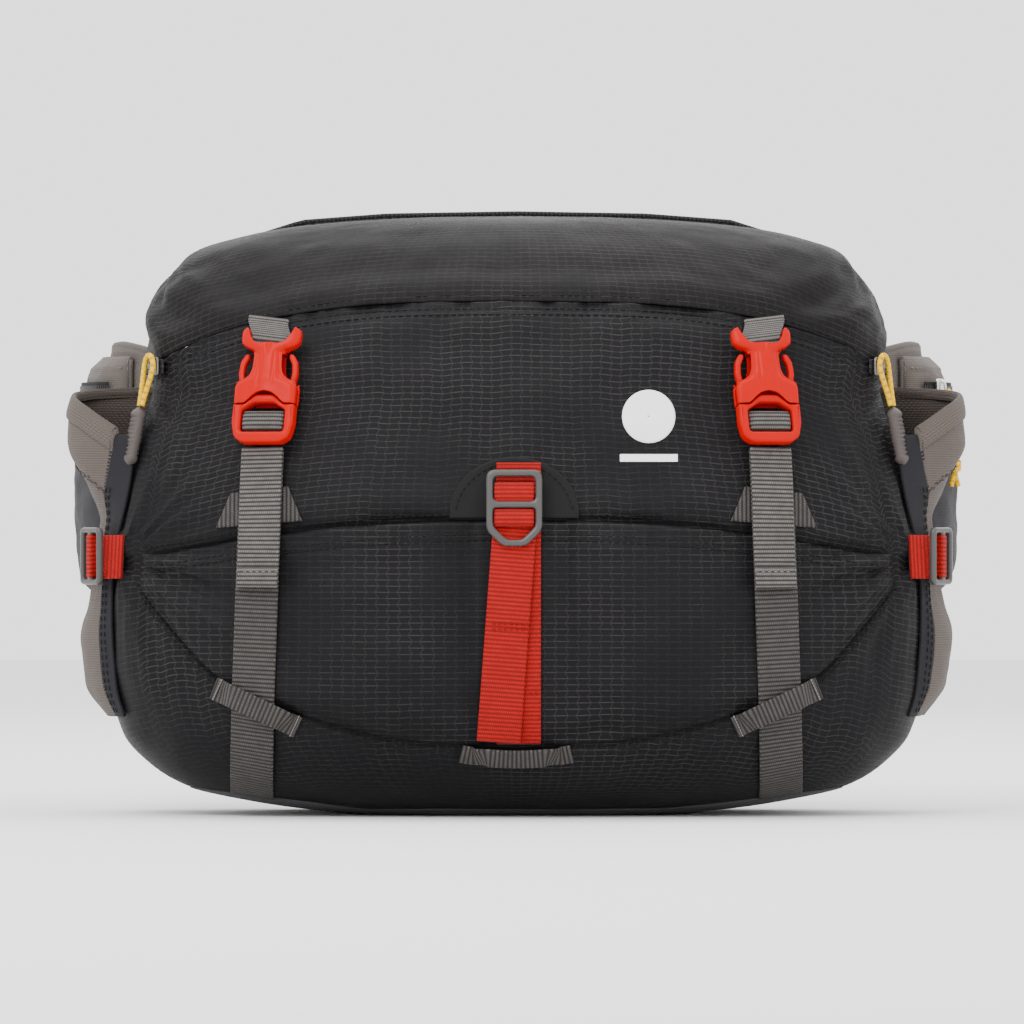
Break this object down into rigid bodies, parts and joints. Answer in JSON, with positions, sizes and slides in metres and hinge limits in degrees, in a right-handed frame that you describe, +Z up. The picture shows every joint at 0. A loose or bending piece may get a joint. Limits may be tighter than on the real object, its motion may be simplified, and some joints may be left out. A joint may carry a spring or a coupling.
{
  "type": "waist pack",
  "caption": "Lumbar waist pack with a zipped lid, buckled front straps, a front slot pocket, stretch bottle pockets and a padded hip belt with zipped pockets.",
  "frame": {"origin": "on the floor, under the middle of the pack's box", "axes": "+Z up; the bag's front faces -Y and the hip belt is at +Y; +X is to the right of a person facing the bag's front"},
  "size_m": [0.4162, 0.2927, 0.277],
  "materials": {
    "black_ripstop": "matte",
    "base_fabric": "matte",
    "back_mesh": "matte",
    "pad_foam": "matte",
    "stiffener": "satin",
    "black_webbing": "matte",
    "grey_webbing": "matte",
    "red_webbing": "matte",
    "stretch_fabric": "matte",
    "wing_fabric": "matte",
    "hip_fabric": "matte",
    "zip_tape": "matte",
    "red_plastic": "satin",
    "black_plastic": "satin",
    "grey_plastic": "satin",
    "zip_metal": "satin",
    "bright_metal": "satin",
    "grip_rubber": "matte",
    "yellow_cord": "matte"
  },
  "bodies": {
    "bag": {"main_shell": "black_ripstop", "base_panel": "base_fabric", "frame_sheet": "stiffener", "back_panel": "back_mesh", "back_pads": "pad_foam", "haul_handle": "black_webbing", "front_pocket": "black_ripstop", "tool_patch": "black_ripstop", "left_bottle_pocket": "stretch_fabric", "right_bottle_pocket": "stretch_fabric", "left_side_strap": "red_webbing", "right_side_strap": "red_webbing", "left_buckle_webbing": "grey_webbing", "right_buckle_webbing": "grey_webbing", "left_buckle_female": "red_plastic", "right_buckle_female": "red_plastic", "left_front_strap": "grey_webbing", "right_front_strap": "grey_webbing", "webbing_keepers": "grey_webbing", "center_strap": "red_webbing", "bag_zip_tape": "zip_tape"},
    "lid": {"lid_shell": "black_ripstop", "lid_zip_tape": "zip_tape"},
    "left_slider": {"left_main_slider": "zip_metal"},
    "left_pull": {"left_pull_cord": "yellow_cord", "left_pull_grip": "grip_rubber"},
    "left_clip": {"left_buckle_male": "red_plastic", "left_strap_tail": "grey_webbing"},
    "left_outer_arm": {"left_outer_prong": "red_plastic"},
    "left_inner_arm": {"left_inner_prong": "red_plastic"},
    "right_slider": {"right_main_slider": "zip_metal"},
    "right_pull": {"right_pull_cord": "yellow_cord", "right_pull_grip": "grip_rubber"},
    "right_clip": {"right_buckle_male": "red_plastic", "right_strap_tail": "grey_webbing"},
    "right_outer_arm": {"right_outer_prong": "red_plastic"},
    "right_inner_arm": {"right_inner_prong": "red_plastic"},
    "left_side_glide": {"left_side_triglide": "grey_plastic"},
    "right_side_glide": {"right_side_triglide": "grey_plastic"},
    "center_glide": {"center_triglide": "grey_plastic", "center_tail": "red_webbing"},
    "left_wing": {"left_wing_cover": "wing_fabric", "left_wing_foam": "pad_foam", "left_hip_pocket": "hip_fabric", "left_hip_zip": "zip_tape", "left_belt_webbing": "black_webbing"},
    "left_hip_pull": {"left_hip_slider": "bright_metal", "left_hip_cord": "yellow_cord"},
    "right_wing": {"right_wing_cover": "wing_fabric", "right_wing_foam": "pad_foam", "right_hip_pocket": "hip_fabric", "right_hip_zip": "zip_tape", "right_belt_webbing": "black_webbing", "belt_buckle_female": "black_plastic"},
    "right_hip_pull": {"right_hip_slider": "bright_metal", "right_hip_cord": "yellow_cord"},
    "belt_clip": {"belt_buckle_male": "black_plastic", "belt_webbing_tail": "black_webbing"},
    "belt_upper_arm": {"belt_upper_prong": "black_plastic"},
    "belt_lower_arm": {"belt_lower_prong": "black_plastic"}
  },
  "joints": [
    {"name": "lid_open", "type": "hinge", "parent": "bag", "child": "lid", "pos_m": [0, -0.107, 0.233], "axis": [1, 0, 0], "range_deg": [0, 80]},
    {"name": "left_slider_travel", "type": "hinge", "parent": "bag", "child": "left_slider", "pos_m": [-0.104, -0.047, 0.2042], "axis": [0, 0, -1], "range_deg": [0, 28]},
    {"name": "left_pull_swing", "type": "hinge", "parent": "left_slider", "child": "left_pull", "pos_m": [-0.16566, -0.07707, 0.2042], "axis": [0.8988, 0.4384, 0], "range_deg": [0, 20]},
    {"name": "left_clip_slide", "type": "slide", "parent": "bag", "child": "left_clip", "axis": [-0.0797, -0.2691, -0.9598], "range_m": [0, 0.025]},
    {"name": "left_outer_squeeze", "type": "hinge", "parent": "left_clip", "child": "left_outer_arm", "pos_m": [-0.12339, -0.11471, 0.18722], "axis": [0.2726, 0.9203, -0.2807], "range_deg": [0, 5.5], "stiffness_Nm_per_rad": 0.02},
    {"name": "left_inner_squeeze", "type": "hinge", "parent": "left_clip", "child": "left_inner_arm", "pos_m": [-0.10172, -0.12113, 0.18722], "axis": [-0.2726, -0.9203, 0.2807], "range_deg": [0, 5.5], "stiffness_Nm_per_rad": 0.02},
    {"name": "right_slider_travel", "type": "hinge", "parent": "bag", "child": "right_slider", "pos_m": [0.104, -0.047, 0.2042], "axis": [0, 0, 1], "range_deg": [0, 28]},
    {"name": "right_pull_swing", "type": "hinge", "parent": "right_slider", "child": "right_pull", "pos_m": [0.16566, -0.07707, 0.2042], "axis": [0.8988, -0.4384, 0], "range_deg": [0, 20]},
    {"name": "right_clip_slide", "type": "slide", "parent": "bag", "child": "right_clip", "axis": [0.0797, -0.2691, -0.9598], "range_m": [0, 0.025]},
    {"name": "right_outer_squeeze", "type": "hinge", "parent": "right_clip", "child": "right_outer_arm", "pos_m": [0.12339, -0.11471, 0.18722], "axis": [0.2726, -0.9203, 0.2807], "range_deg": [0, 5.5], "stiffness_Nm_per_rad": 0.02},
    {"name": "right_inner_squeeze", "type": "hinge", "parent": "right_clip", "child": "right_inner_arm", "pos_m": [0.10172, -0.12113, 0.18722], "axis": [-0.2726, 0.9203, -0.2807], "range_deg": [0, 5.5], "stiffness_Nm_per_rad": 0.02},
    {"name": "left_side_glide_slide", "type": "slide", "parent": "bag", "child": "left_side_glide", "axis": [-0.515, 0.8572, 0], "range_m": [0, 0.008]},
    {"name": "right_side_glide_slide", "type": "slide", "parent": "bag", "child": "right_side_glide", "axis": [0.515, 0.8572, 0], "range_m": [0, 0.008]},
    {"name": "center_glide_slide", "type": "slide", "parent": "bag", "child": "center_glide", "axis": [0, -0.165, -0.9863], "range_m": [0, 0.02]},
    {"name": "left_wing_fold", "type": "hinge", "parent": "bag", "child": "left_wing", "pos_m": [-0.156, 0.019, 0.15], "axis": [0, 0, 1], "range_deg": [0, 30]},
    {"name": "left_hip_slider_travel", "type": "hinge", "parent": "left_wing", "child": "left_hip_pull", "pos_m": [-0.138, 0.071, 0.196], "axis": [0, 0, 1], "range_deg": [0, 70]},
    {"name": "right_wing_fold", "type": "hinge", "parent": "bag", "child": "right_wing", "pos_m": [0.156, 0.019, 0.15], "axis": [0, 0, -1], "range_deg": [0, 30]},
    {"name": "right_hip_slider_travel", "type": "hinge", "parent": "right_wing", "child": "right_hip_pull", "pos_m": [0.138, 0.071, 0.196], "axis": [0, 0, 1], "range_deg": [0, 72]},
    {"name": "belt_clip_slide", "type": "slide", "parent": "left_wing", "child": "belt_clip", "axis": [1, 0, 0], "range_m": [0, 0.0437]},
    {"name": "belt_upper_squeeze", "type": "hinge", "parent": "belt_clip", "child": "belt_upper_arm", "pos_m": [-0.03513, 0.14, 0.16212], "axis": [0, 1, 0], "range_deg": [0, 5.5], "stiffness_Nm_per_rad": 0.04},
    {"name": "belt_lower_squeeze", "type": "hinge", "parent": "belt_clip", "child": "belt_lower_arm", "pos_m": [-0.03513, 0.14, 0.13387], "axis": [0, -1, 0], "range_deg": [0, 5.5], "stiffness_Nm_per_rad": 0.04}
  ],
  "couplings": [
    {"joint": "left_inner_squeeze", "follows": "left_outer_squeeze", "ratio": 1},
    {"joint": "right_inner_squeeze", "follows": "right_outer_squeeze", "ratio": 1},
    {"joint": "belt_lower_squeeze", "follows": "belt_upper_squeeze", "ratio": 1}
  ]
}
